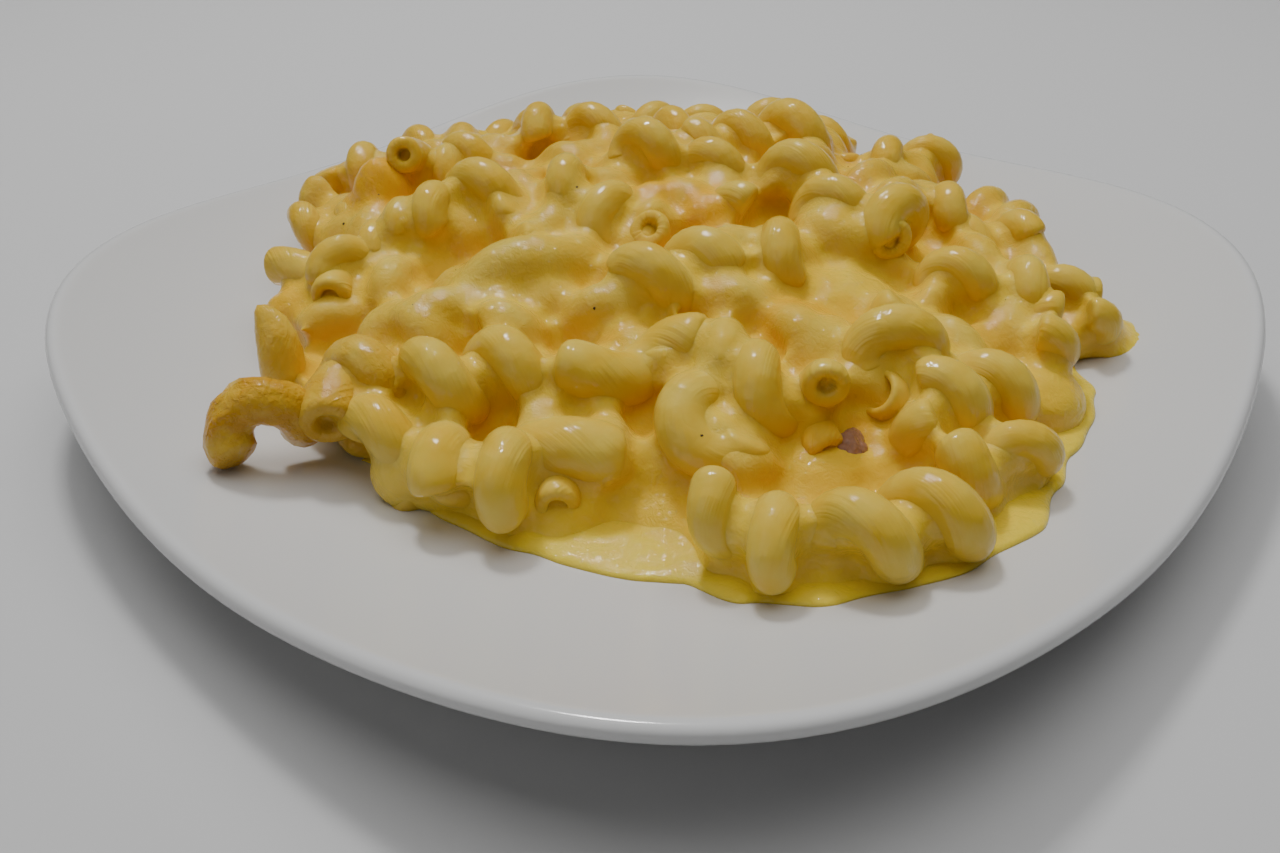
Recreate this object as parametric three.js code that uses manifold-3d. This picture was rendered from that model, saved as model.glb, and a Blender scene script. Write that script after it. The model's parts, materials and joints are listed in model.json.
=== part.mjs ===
// A helping of corkscrew macaroni in cheese sauce on a rounded-square coupe plate.
// Millimetres, +Z up. The plate's sides run along X and Y and its foot stands on Z = 0.
// The food is laid out in a frame of its own, turned SERVING_TURN about Z.

import * as THREE from 'three';
import { mergeVertices } from 'three/addons/utils/BufferGeometryUtils.js';
import Module from 'manifold-3d';

const wasm = await Module();
wasm.setup();

// ---- driving dimensions -------------------------------------------------

const PLATE_HALF = 105; // half the width across the flats
const PLATE_SQUARENESS = 2.7; // 2 is a circle, more is squarer
const PLATE_RIPPLE = 0.0056; // slight fullness at the flats and the corners
const PLATE_FLOOR = 5.5; // eating surface above the table
const PLATE_RIM = 20.1; // mean height that the side sweeps up to
const PLATE_CORNER_LIFT = 3.4; // corners rise, mid-sides drop by this
const PLATE_FLAT_SHARE = 0.42; // share of the radius that is flat inside
const PLATE_CURVE = 2.35; // how steeply the side sweeps up
const PLATE_WALL = 3.7;
const LIP = { share: 0.977, radius: 1.6, drop: 1.85 }; // round lip, its middle this far under the rim
const FOOT_OUTER = 0.6; // share of the radius
const FOOT_WIDTH = 0.05;
const FOOT_RECESS = 1.8;
const PLATE_SEGMENTS = 48;

const SERVING_TURN = THREE.MathUtils.degToRad(40.86);
const GAP = 0.5; // between food and china
const SAUCE_GAP = 0.35; // between the heap and the run-out sauce

const PEAK = { x: 0, y: 18, height: 41 }; // top of the heap over the table
const EDGE_STEP = 15.5; // one layer of twists stands this high at the edge
const EDGE_SHARPNESS = 40; // how abruptly that layer ends
const SIDE_FULLNESS = 2.4; // exponent of the slope at the sides and the back
const FRONT_FULLNESS = 1.4; // and towards the front
const CORE_SINK = 7.5; // the bare core lies this far under the heap's envelope
const CORE_EDGE = 1.5; // and is never thinner than this
const CORE_SEGMENTS = 36;
const GROUND_MARGIN = 25;
const GROUND_DEPTH = 5;

const TWIST = { coil: 4.2, tube: 3.75, pitch: 12.4 };
const TUBE_SIDES = 6;
const STEPS_A_TURN = 7;
const FACET_TOLERANCE = 0.1;

// Radius of the bare core round the peak, in degrees from the serving's +X.
const CORE_OUTLINE = [
  [-173, 79], [-153, 80], [-133, 82], [-120, 78], [-108, 81], [-95, 83], [-85, 88], [-75, 94],
  [-62, 96], [-50, 90], [-38, 90], [-26, 84], [-13, 87], [5, 82], [25, 76], [50, 67], [75, 59],
  [100, 58], [125, 63], [150, 76], [168, 82],
];

// Outer edge of the thin sauce that has run out over the plate.
const SAUCE_OUTLINE = [
  [-128, 81], [-120, 83], [-112, 87], [-103, 90], [-94, 93], [-88, 94.5], [-83, 101], [-76, 104],
  [-66, 105], [-57, 103], [-50, 98], [-44, 94.5], [-38, 94], [-32, 91.5], [-26, 86.5],
];
const SAUCE_INNER_DEPTH = 2.2;
const SAUCE_EDGE_DEPTH = 0.9;
const SAUCE_MIN_WIDTH = 1.5;
const SAUCE_SEGMENTS = 28;

// Each twist of pasta: centre, heading of its axis in plan, lean of the axis, roll about it,
// turns and size. Lengths in millimetres, angles in degrees, in the serving's frame.
const TWISTS = [
  // along the front edge, left to right
  [-65, -50, 18, 10, 0, 10, 1.1, 0.85],
  [-45, -50, 16, 20, 0, 90, 1.2, 0.95],
  [-36, -57, 15, 150, 0, 75, 0.8, 1],
  [-27, -61, 16, 150, 10, 60, 1, 1],
  [-7, -65, 17, 30, 0, 60, 1.3, 0.95],
  [13, -74, 17, 140, 8, 120, 1.4, 0.85],
  [34, -75, 18, 22, 0, 200, 1.9, 0.95],
  [49, -59, 17, 0, 0, 150, 0.8, 1],
  [56, -56, 16, 60, 0, 0, 1, 0.8],
  [43, -57, 15.5, 70, 35, 180, 0.9, 1],
  // second row
  [-66, -30, 18, 20, -20, 90, 0.7, 0.9],
  [-49, -41, 20, 30, 0, 60, 1.3, 1],
  [-29, -42, 21.5, 18, 0, 240, 1.6, 1],
  [-12, -54, 19, 60, 30, 150, 0.8, 1],
  [-4, -38, 23.5, 55, 15, 180, 1.5, 1.05],
  [8, -53, 20, 300, 30, 87, 0.85, 1.05],
  [7, -38, 22, 150, 0, 120, 1, 1],
  [19, -47, 23.5, 150, 0, 235, 1.3, 0.92],
  [40, -37, 25, 60, 0, 75, 1.3, 1],
  [51, -44, 19, 32, -12, 240, 1.6, 0.95],
  // middle
  [-71, -3, 20, 100, 20, 120, 1, 0.85],
  [-62, -8, 23, 75, 0, 10, 1.3, 0.85],
  [-25, -17, 27, 20, 0, 60, 1.8, 1],
  [3, -20, 28, 30, 0, 180, 1.4, 1],
  [20, -13, 29, 150, 0, 60, 1.1, 0.9],
  [56, -13, 24, 30, 0, 60, 1.1, 0.85],
  [66, -13, 22, 150, 0, 60, 0.9, 0.85],
  [69, -25, 19, 50, 0, 180, 1, 0.85],
  [78, -8, 18, 30, 0, 30, 1, 0.8],
  [81, -14, 17, 60, 0, 180, 1, 0.75],
  // top
  [-52, 3, 27, 150, 0, 60, 0.8, 0.8],
  [-46, 4, 29, 150, 0, 60, 0.9, 0.9],
  [-34, 9, 31, 30, 0, 40, 1.3, 1],
  [-27, -2, 29, 60, 20, 180, 0.7, 1],
  [-20, 8, 33, 150, 0, 60, 0.9, 0.9],
  [-9, -1, 29, 120, 0, 300, 1.4, 1],
  [13, 0, 30, 30, 0, 240, 0.8, 0.85],
  [-1, 20, 36, 20, 0, 60, 1.2, 0.9],
  [29, 12, 34, 30, 0, 60, 1.2, 0.95],
  [35, 3, 31, 30, 0, 60, 1.2, 0.9],
  [44, -2, 30, 60, 0, 30, 1.3, 1],
  // crest and back
  [-70, 16, 20, 0, 0, 180, 1.3, 0.8],
  [-51, 20, 33, 270, 20, -20, 0.6, 0.9],
  [-47, 28, 30, 150, 0, 60, 0.9, 0.8],
  [-29, 44, 33, 150, 0, 60, 0.8, 0.9],
  [-15, 42, 34, 30, 0, 0, 1, 0.85],
  [3, 42, 33, 0, 0, 0, 0.8, 0.85],
  [14, 33, 34, 20, 0, 240, 1.4, 0.9],
  [29, 40, 36, 15, 0, 0, 0.9, 1.1],
  [49, 38, 28, 140, 0, 60, 1.3, 0.85],
  [57, 14, 25, 150, 0, 60, 0.9, 0.85],
  [68, 8, 21, 170, -10, 180, 1.3, 0.85],
];

// The far side is filled by rule: rings of twists that rest on the slope.
const BACK_RINGS = [
  { share: 0.93, from: 22, to: 168, count: 9 },
  { share: 0.66, from: 45, to: 150, count: 3 },
];
const BACK_SEED = 11;

// Lumps of thick cheese: centre and half-axes.
const CHEESE_LUMPS = [
  [-58, 20, 27, 6, 5, 9],
  [6, 6, 30, 7, 5, 6],
  [22, -25, 24, 7, 6, 6],
  [-70, -18, 16, 6, 5, 5],
  [30, -50, 19, 3.5, 3.5, 3],
];

// ---- small helpers ------------------------------------------------------

/** Seeded random numbers from 0 to 1. */
function makeRandom(seed) {
  let state = seed >>> 0;
  return () => {
    state = (Math.imul(state, 1664525) + 1013904223) >>> 0;
    return state / 4294967296;
  };
}

/** Smooth value of a list of [degrees, value] at an angle in radians, closed if it wraps. */
function valueAt(list, angle, wraps) {
  let degrees = THREE.MathUtils.radToDeg(angle);
  const first = list[0][0];
  if (wraps) degrees = THREE.MathUtils.euclideanModulo(degrees - first, 360) + first;
  const stops = wraps ? [...list, [first + 360, list[0][1]]] : list;
  const next = stops.findIndex(([stop]) => stop >= degrees);
  if (next === -1) return stops[stops.length - 1][1];
  if (next === 0) return stops[0][1];
  const [from, low] = stops[next - 1];
  const [to, high] = stops[next];
  return THREE.MathUtils.lerp(low, high, THREE.MathUtils.smoothstep(degrees, from, to));
}

/** Moves every vertex of a geometry by a function and drops what boolean work cannot use. */
function reshape(geometry, place) {
  geometry.deleteAttribute('normal');
  geometry.deleteAttribute('uv');
  const position = geometry.getAttribute('position');
  const point = new THREE.Vector3();
  for (let i = 0; i < position.count; i += 1) {
    point.fromBufferAttribute(position, i);
    place(point);
    position.setXYZ(i, point.x, point.y, point.z);
  }
  return mergeVertices(geometry, 1e-4);
}

/** A closed three.js geometry as a solid for joining and cutting. */
function toSolid(geometry) {
  return new wasm.Manifold(
    new wasm.Mesh({
      numProp: 3,
      vertProperties: new Float32Array(geometry.getAttribute('position').array),
      triVerts: new Uint32Array(geometry.getIndex().array),
    }),
  );
}

/** The solid's vertices and triangles as a three.js geometry. */
function toGeometry(solid) {
  const mesh = solid.getMesh();
  const geometry = new THREE.BufferGeometry();
  geometry.setAttribute('position', new THREE.BufferAttribute(mesh.vertProperties, 3));
  geometry.setIndex(new THREE.BufferAttribute(mesh.triVerts, 1));
  return geometry;
}

/** The largest connected piece: loose scraps go and sealed hollows are filled. */
function largestPiece(solid) {
  const pieces = solid.decompose();
  return pieces.reduce((best, piece) => (piece.volume() > best.volume() ? piece : best));
}

// ---- plate --------------------------------------------------------------

/** Distance from the plate's centre to its edge, in the direction of an angle. */
function plateRadius(angle) {
  const c = Math.abs(Math.cos(angle));
  const s = Math.abs(Math.sin(angle));
  const squared = (c ** PLATE_SQUARENESS + s ** PLATE_SQUARENESS) ** (-1 / PLATE_SQUARENESS);
  return PLATE_HALF * squared * (1 + PLATE_RIPPLE * Math.cos(8 * angle));
}

/** How far the coupe has swept up, 0 on the flat floor and 1 at the lip. */
function plateSweep(share) {
  return Math.max(0, (share - PLATE_FLAT_SHARE) / (LIP.share - PLATE_FLAT_SHARE)) ** PLATE_CURVE;
}

/** Height of the plate's upper surface under a point of the serving's frame. */
function plateTop(x, y) {
  const angle = Math.atan2(y, x) + SERVING_TURN;
  const share = Math.hypot(x, y) / plateRadius(angle);
  const rim = PLATE_RIM - PLATE_CORNER_LIFT * Math.cos(4 * angle);
  return PLATE_FLOOR + (rim - PLATE_FLOOR) * plateSweep(share);
}

/** Half-section of the plate from the middle of its top, round the lip, to the middle of its underside. */
function plateProfile() {
  const rise = PLATE_RIM - PLATE_FLOOR;
  const inside = [0, PLATE_FLAT_SHARE, 0.55, 0.67, 0.78, 0.88, 0.94];
  const top = inside.map((share) => [share, PLATE_FLOOR + rise * plateSweep(share)]);
  const lip = [120, 80, 35, -15, -60].map((degrees) => {
    const angle = THREE.MathUtils.degToRad(degrees);
    const share = LIP.share + (LIP.radius / PLATE_HALF) * Math.cos(angle);
    return [share, PLATE_RIM - LIP.drop + LIP.radius * Math.sin(angle)];
  });
  const outside = [0.93, 0.82, 0.71, FOOT_OUTER + 0.02];
  const under = outside.map((share) => [share, PLATE_FLOOR - PLATE_WALL + rise * plateSweep(share)]);
  const inner = FOOT_OUTER - FOOT_WIDTH;
  const foot = [[FOOT_OUTER, 0], [inner, 0], [inner - 0.02, FOOT_RECESS], [0, FOOT_RECESS]];
  return [...top, ...lip, ...under, ...foot];
}

/** The plate: a lathed half-section whose rings are squared and whose corners are lifted. */
function makePlate() {
  const points = plateProfile().map(([share, height]) => new THREE.Vector2(share, height));
  const lathe = new THREE.LatheGeometry(points.reverse(), PLATE_SEGMENTS);
  return reshape(lathe, (point) => {
    const share = Math.hypot(point.x, point.z);
    const angle = Math.atan2(-point.z, point.x);
    const radius = share * plateRadius(angle);
    const inFoot = point.y < FOOT_RECESS + 0.1;
    const lift = inFoot ? 0 : -PLATE_CORNER_LIFT * Math.cos(4 * angle) * plateSweep(share);
    point.set(radius * Math.cos(angle), radius * Math.sin(angle), point.y + lift);
  });
}

// ---- heap ---------------------------------------------------------------

/** Height that the heap of pasta reaches over a point. */
function envelope(x, y) {
  const angle = Math.atan2(y - PEAK.y, x - PEAK.x);
  const share = Math.hypot(x - PEAK.x, y - PEAK.y) / (valueAt(CORE_OUTLINE, angle, true) + 4);
  const front = Math.max(0, -Math.sin(angle)) ** 1.2;
  const fullness = THREE.MathUtils.lerp(SIDE_FULLNESS, FRONT_FULLNESS, front);
  const base = plateTop(x, y);
  const inside = Math.min(1, share);
  const climb = PEAK.height - base - EDGE_STEP;
  return base + EDGE_STEP * (1 - inside ** EDGE_SHARPNESS) + climb * (1 - inside ** fullness);
}

/** A closed mound between the plate and a ceiling, out to a share of the core's outline. */
function mound(grow, bottom, top) {
  const rings = [0.3, 0.55, 0.75, 0.88, 0.96];
  const points = [
    new THREE.Vector2(0, 0),
    ...rings.map((share) => new THREE.Vector2(share, 0)),
    new THREE.Vector2(1, 0),
    new THREE.Vector2(1, 1),
    ...rings.reverse().map((share) => new THREE.Vector2(share, 1)),
    new THREE.Vector2(0, 1),
  ];
  return reshape(new THREE.LatheGeometry(points, CORE_SEGMENTS), (point) => {
    const angle = Math.atan2(-point.z, point.x);
    const radius = Math.hypot(point.x, point.z) * (valueAt(CORE_OUTLINE, angle, true) + grow);
    const x = PEAK.x + radius * Math.cos(angle);
    const y = PEAK.y + radius * Math.sin(angle);
    point.set(x, y, point.y < 0.5 ? bottom(x, y) : top(x, y));
  });
}

/** Centreline of a right-handed corkscrew. */
class Helix extends THREE.Curve {
  constructor([x, y, z, heading, lean, roll, turns, size]) {
    super();
    const h = THREE.MathUtils.degToRad(heading);
    const l = THREE.MathUtils.degToRad(lean);
    this.centre = new THREE.Vector3(x, y, z);
    this.axis = new THREE.Vector3(Math.cos(l) * Math.cos(h), Math.cos(l) * Math.sin(h), Math.sin(l));
    this.up = new THREE.Vector3(0, 0, 1).addScaledVector(this.axis, -this.axis.z).normalize();
    this.side = new THREE.Vector3().crossVectors(this.axis, this.up);
    this.roll = THREE.MathUtils.degToRad(roll);
    this.turns = turns;
    this.size = size;
  }

  getPoint(t, target = new THREE.Vector3()) {
    const along = (t - 0.5) * this.turns;
    const phase = 2 * Math.PI * along + this.roll;
    return target
      .copy(this.centre)
      .addScaledVector(this.axis, TWIST.pitch * this.size * along)
      .addScaledVector(this.up, TWIST.coil * this.size * Math.cos(phase))
      .addScaledVector(this.side, TWIST.coil * this.size * Math.sin(phase));
  }
}

/** One twist of pasta as a faceted solid. */
function makeTwist(twist) {
  const [turns, size] = twist.slice(-2);
  const section = new THREE.Shape();
  for (let i = 0; i < TUBE_SIDES; i += 1) {
    const angle = (2 * Math.PI * i) / TUBE_SIDES;
    const x = TWIST.tube * size * Math.cos(angle);
    const y = TWIST.tube * size * Math.sin(angle);
    if (i === 0) section.moveTo(x, y);
    else section.lineTo(x, y);
  }
  const geometry = new THREE.ExtrudeGeometry(section, {
    steps: Math.round(turns * STEPS_A_TURN),
    extrudePath: new Helix(twist),
  });
  return toSolid(reshape(geometry, () => {}));
}

/** Twists by rule on the side that faces away, resting on the slope. */
function backTwists() {
  const random = makeRandom(BACK_SEED);
  return BACK_RINGS.flatMap(({ share, from, to, count }) =>
    Array.from({ length: count }, (_, i) => {
      const step = (to - from) / count;
      const angle = THREE.MathUtils.degToRad(from + step * (i + 0.2 + 0.6 * random()));
      const radius = share * (valueAt(CORE_OUTLINE, angle, true) + 2);
      const x = PEAK.x + radius * Math.cos(angle);
      const y = PEAK.y + radius * Math.sin(angle);
      const z = Math.max(plateTop(x, y) + 8.6, envelope(x, y) - CORE_SINK);
      return [x, y, z, 180 * random(), 20 * (random() - 0.5), 360 * random(), 1.1 + 0.7 * random(), 0.9];
    }),
  );
}

/** A lump of cheese as a faceted solid. */
function makeLump([x, y, z, a, b, c]) {
  const ball = new THREE.IcosahedronGeometry(1, 1);
  return toSolid(reshape(ball, (point) => point.set(x + a * point.x, y + b * point.y, z + c * point.z)));
}

// ---- sauce --------------------------------------------------------------

/** The run-out sauce as a crescent, `grow` wider and higher all round. */
function crescent(grow) {
  const from = THREE.MathUtils.degToRad(SAUCE_OUTLINE[0][0]) - grow / 100;
  const to = THREE.MathUtils.degToRad(SAUCE_OUTLINE[SAUCE_OUTLINE.length - 1][0]) + grow / 100;
  const strip = new THREE.BoxGeometry(1, 1, 1, SAUCE_SEGMENTS, 1, 2);
  return reshape(strip, (point) => {
    const angle = THREE.MathUtils.lerp(from, to, point.x + 0.5);
    const inner = valueAt(CORE_OUTLINE, angle, true) + GAP;
    const outer = Math.max(valueAt(SAUCE_OUTLINE, angle, false), inner + SAUCE_MIN_WIDTH);
    const outwards = 0.5 + point.z;
    const radius = THREE.MathUtils.lerp(inner - grow * 0.7, outer + grow, outwards);
    const x = PEAK.x + radius * Math.cos(angle);
    const y = PEAK.y + radius * Math.sin(angle);
    const depth = THREE.MathUtils.lerp(SAUCE_INNER_DEPTH, SAUCE_EDGE_DEPTH, outwards);
    const base = plateTop(x, y) + GAP;
    point.set(x, y, point.y > 0 ? base + depth + grow : base - 2 * grow);
  });
}

/** Everything under the food: the plate's upper surface, a gap higher, past the outermost twists. */
function groundBlock() {
  return toSolid(mound(GROUND_MARGIN, () => -GROUND_DEPTH, (x, y) => plateTop(x, y) + GAP));
}

/** Core, twists and lumps fused, clear of the plate and of the run-out sauce. */
function makeHeap() {
  const ceiling = (x, y) => Math.max(plateTop(x, y) + GAP + CORE_EDGE, envelope(x, y) - CORE_SINK);
  const core = toSolid(mound(0, () => 0, ceiling));
  const twists = [...TWISTS, ...backTwists()].map(makeTwist);
  const lumps = CHEESE_LUMPS.map(makeLump);
  const fused = wasm.Manifold.union([core, ...twists, ...lumps]);
  const clear = fused.subtract(groundBlock()).subtract(toSolid(crescent(SAUCE_GAP)));
  return toGeometry(largestPiece(clear).simplify(FACET_TOLERANCE));
}

// ---- scene graph --------------------------------------------------------

function named(name, geometry, colour, roughness) {
  const material = new THREE.MeshStandardMaterial({ color: colour, roughness, metalness: 0 });
  const mesh = new THREE.Mesh(geometry, material);
  mesh.name = name;
  return mesh;
}

const serving = new THREE.Group();
serving.rotation.z = SERVING_TURN;
serving.add(named('macaroni_heap', makeHeap(), 0xe6c66e, 0.4));
serving.add(named('cheese_sauce', crescent(0), 0xedbe62, 0.3));

const part = new THREE.Group();
part.add(named('plate', makePlate(), 0xf2f1ee, 0.15));
part.add(serving);

export default part;
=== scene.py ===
"""Corkscrew macaroni in cheese sauce, heaped on a rounded-square porcelain plate.

The food is laid out in millimetres in a serving frame, turned about Z from the plate's own axes.
Every finished piece is then settled into the shared frame in metres.
"""

from __future__ import annotations

import json
import logging
import math
from collections.abc import Callable, Iterable, Iterator
from contextlib import contextmanager
from dataclasses import dataclass, replace
from enum import Enum
from functools import partial
from typing import ClassVar

import bpy
from mathutils import Matrix, Vector, noise
from mathutils.bvhtree import BVHTree

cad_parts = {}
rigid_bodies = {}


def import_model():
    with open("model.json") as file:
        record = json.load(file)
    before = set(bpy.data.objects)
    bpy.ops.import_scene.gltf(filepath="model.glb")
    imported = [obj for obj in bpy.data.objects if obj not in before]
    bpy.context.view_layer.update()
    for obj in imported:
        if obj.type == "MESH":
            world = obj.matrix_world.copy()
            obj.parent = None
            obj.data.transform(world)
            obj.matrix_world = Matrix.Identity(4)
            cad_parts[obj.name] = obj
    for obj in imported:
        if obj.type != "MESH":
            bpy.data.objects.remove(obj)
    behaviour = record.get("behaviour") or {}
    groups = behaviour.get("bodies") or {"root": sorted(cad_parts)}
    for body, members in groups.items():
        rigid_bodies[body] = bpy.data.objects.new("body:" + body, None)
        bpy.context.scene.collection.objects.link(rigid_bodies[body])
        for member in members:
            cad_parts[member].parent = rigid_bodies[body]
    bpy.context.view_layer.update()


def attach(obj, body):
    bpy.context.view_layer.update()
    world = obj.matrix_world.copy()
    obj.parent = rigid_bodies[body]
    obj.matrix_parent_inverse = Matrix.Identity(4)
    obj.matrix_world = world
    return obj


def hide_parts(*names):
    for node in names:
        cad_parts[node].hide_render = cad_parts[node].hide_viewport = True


LOG = logging.getLogger("macaroni")

Object = bpy.types.Object
Socket = bpy.types.NodeSocket
Colour = tuple[float, float, float]

MM = 0.001
TAU = 2 * math.pi
SERVING_TURN = math.radians(40.86)


# ---- bench tools ----------------------------------------------------------


def deselect_all() -> None:
    """Leaves object mode with nothing selected."""
    if bpy.context.mode != "OBJECT":
        bpy.ops.object.mode_set(mode="OBJECT")
    bpy.ops.object.select_all(action="DESELECT")


def pick(obj: Object) -> Object:
    """Makes one object the only selected and the active one.

    Args:
        obj: The object to work on.

    Returns:
        The same object.
    """
    deselect_all()
    obj.select_set(True)
    bpy.context.view_layer.objects.active = obj
    return obj


def start(name: str, add: Callable[..., set[str]], **settings: object) -> Object:
    """Adds a primitive and names it.

    Args:
        name: Name of the new object.
        add: The primitive operator.
        **settings: What the operator is given.

    Returns:
        The new object, alone selected.
    """
    deselect_all()
    add(**settings)
    obj = bpy.context.active_object
    obj.name = name
    return obj


@contextmanager
def edit_mode(obj: Object, select: str) -> Iterator[None]:
    """Works on an object's mesh in edit mode.

    Args:
        obj: The object to edit.
        select: SELECT or DESELECT, for what is selected at the start.

    Yields:
        Nothing, while the mesh is in edit mode.
    """
    pick(obj)
    bpy.ops.object.mode_set(mode="EDIT")
    bpy.ops.mesh.select_all(action=select)
    yield
    bpy.ops.object.mode_set(mode="OBJECT")


def keep_largest(obj: Object) -> None:
    """Deletes every loose part of a mesh but the one with the most faces.

    Args:
        obj: The object, whose mesh is one part afterwards.
    """
    before = set(bpy.data.objects)
    with edit_mode(obj, "SELECT"):
        bpy.ops.mesh.separate(type="LOOSE")
    parts = [obj, *(part for part in bpy.data.objects if part not in before)]
    largest = max(parts, key=lambda part: len(part.data.polygons))
    obj.data, largest.data = largest.data, obj.data
    for part in parts[1:]:
        bpy.data.objects.remove(part)


def apply_modifier(obj: Object, kind: str, **settings: object) -> None:
    """Adds a modifier to an object and applies it.

    Args:
        obj: The object to change.
        kind: The modifier's type.
        **settings: The modifier's properties.
    """
    pick(obj)
    modifier = obj.modifiers.new(kind.lower(), kind)
    for key, value in settings.items():
        setattr(modifier, key, value)
    bpy.ops.object.modifier_apply(modifier=modifier.name)


def move_vertices(obj: Object, place: Callable[[Vector], Vector]) -> None:
    """Moves every vertex of a mesh by a function of where it is.

    Args:
        obj: The object whose mesh is shaped.
        place: Gives a vertex's new place from its old one.
    """
    for vertex in obj.data.vertices:
        vertex.co = place(vertex.co.copy())
    obj.data.update()


def shaped_ball(
    name: str,
    subdivisions: int,
    place: Callable[[Vector], Vector],
    radius: float = 1.0,
) -> Object:
    """Adds a ball and shapes it.

    Args:
        name: Name of the new object.
        subdivisions: How fine it is.
        place: Gives a vertex's new place from its old one.
        radius: The ball's radius.

    Returns:
        The new object.
    """
    add = bpy.ops.mesh.primitive_ico_sphere_add
    obj = start(name, add, subdivisions=subdivisions, radius=radius)
    move_vertices(obj, place)
    return obj


def join(name: str, objects: Iterable[Object]) -> Object:
    """Joins objects into one.

    Args:
        name: Name of the joined object.
        objects: What is joined.

    Returns:
        The joined object.
    """
    members = list(objects)
    pick(members[0])
    for member in members:
        member.select_set(True)
    bpy.ops.object.join()
    members[0].name = name
    return members[0]


def point_values(obj: Object, name: str, value: Callable[[Vector], float]) -> None:
    """Writes a number on every vertex of a mesh, for a material to read.

    Args:
        obj: The object whose mesh is marked.
        name: Name of the attribute.
        value: Gives the number from the vertex's place.
    """
    layer = obj.data.attributes.new(name, "FLOAT", "POINT")
    layer.data.foreach_set("value", [value(vertex.co) for vertex in obj.data.vertices])


def settle(obj: Object, turned: bool) -> None:
    """Takes a finished mesh from millimetres to the shared frame in metres, smooth shaded.

    Args:
        obj: The finished object, which stays at the origin.
        turned: Whether it was laid out in the serving frame.
    """
    turn = Matrix.Rotation(SERVING_TURN if turned else 0.0, 4, "Z")
    obj.data.transform(turn @ Matrix.Scale(MM, 4))
    obj.data.update()
    pick(obj)
    bpy.ops.object.shade_smooth()


def hand_over(
    piece: Object,
    finish: bpy.types.Material,
    node: str | None = None,
    turned: bool = True,
) -> None:
    """Gives a finished piece its material and its place in the part.

    Args:
        piece: The piece, in millimetres.
        finish: Its material.
        node: The solid that it replaces, if it stands for one.
        turned: Whether it was laid out in the serving frame.
    """
    piece.data.materials.clear()
    piece.data.materials.append(finish)
    settle(piece, turned)
    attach(piece, "root")
    if node is not None:
        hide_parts(node)
    LOG.info("%s: %d faces", piece.name, len(piece.data.polygons))


def smoothstep(low: float, high: float, value: float) -> float:
    """Smooth ramp from 0 at low to 1 at high."""
    share = min(1.0, max(0.0, (value - low) / (high - low)))
    return share * share * (3 - 2 * share)


def value_at(stops: list[tuple[float, float]], degrees: float) -> float:
    """Smooth value of a closed list of (degrees, value).

    Args:
        stops: Values by rising angle, less than a turn in all.
        degrees: Where the value is wanted.

    Returns:
        The value there.
    """
    first = stops[0][0]
    degrees = (degrees - first) % 360 + first
    closed = [*stops, (first + 360, stops[0][1])]
    for (low, before), (high, after) in zip(closed, closed[1:]):
        if degrees <= high:
            return before + (after - before) * smoothstep(low, high, degrees)
    return closed[-1][1]


class SeededDraw:
    """Seeded random numbers, the same in every run."""

    def __init__(self, seed: int) -> None:
        """Starts the row of numbers at a seed."""
        self.state = seed

    def __call__(self) -> float:
        """Draws the next number from 0 to 1."""
        self.state = (self.state * 1664525 + 1013904223) % 4294967296
        return self.state / 4294967296


# ---- finishes -------------------------------------------------------------


# What pasta and sauce share: a dull body that lets light in. Each has its own wet coat over it.
WAXY = {
    "Roughness": 0.5,
    "IOR": 1.45,
    "Specular_IOR_Level": 0.18,
    "Subsurface_Weight": 0.25,
    "Subsurface_Radius": (1.0, 0.75, 0.25),
    "Subsurface_Scale": 1.3 * MM,
}


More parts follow.
